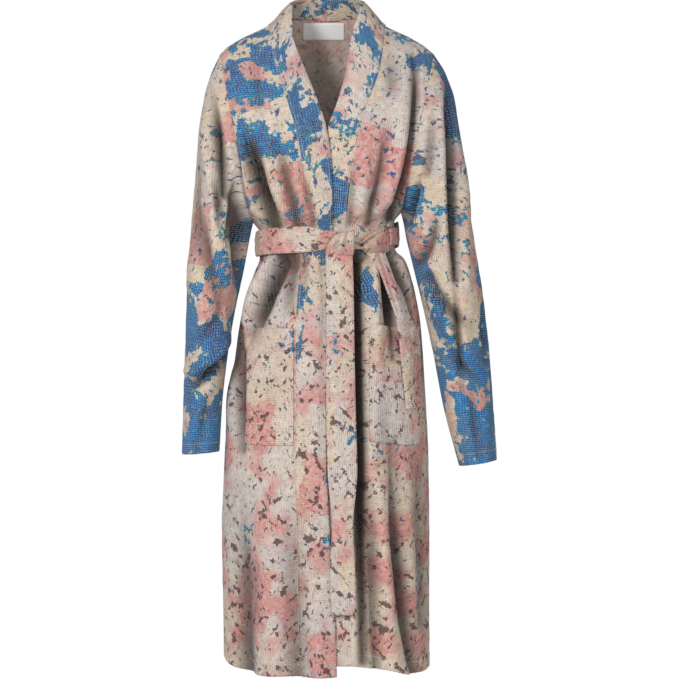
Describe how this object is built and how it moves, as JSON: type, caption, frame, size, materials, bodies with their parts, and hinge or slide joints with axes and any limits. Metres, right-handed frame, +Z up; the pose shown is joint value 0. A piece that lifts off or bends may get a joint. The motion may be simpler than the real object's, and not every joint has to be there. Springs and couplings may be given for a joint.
{
  "type": "kimono",
  "caption": "Long kimono-style wrap robe of quilted patchwork cotton, worn shape, with collar band, patch pockets and a knotted tie belt.",
  "frame": {"origin": "base of the neck, midway between the shoulders", "axes": "+Z up, -Y the front of the robe, +X the wearer's left"},
  "size_m": [0.563, 0.2885, 1.2075],
  "materials": {
    "quilt": "running-stitched patchwork cotton",
    "band": "running-stitched patchwork cotton, doubled",
    "pocket": "running-stitched patchwork cotton",
    "belt": "running-stitched patchwork cotton, folded and edge-stitched",
    "label": "plain woven tape"
  },
  "bodies": {
    "root": {"back": "quilt", "front_right": "quilt", "front_left": "quilt", "band_right": "band", "band_left": "band", "sleeve_right": "quilt", "sleeve_left": "quilt", "pocket_right": "pocket", "pocket_left": "pocket", "label": "label", "belt_wrap": "belt", "belt_twist": "belt", "belt_knot": "belt", "belt_tail_long": "belt", "belt_tail_short": "belt"}
  },
  "joints": []
}
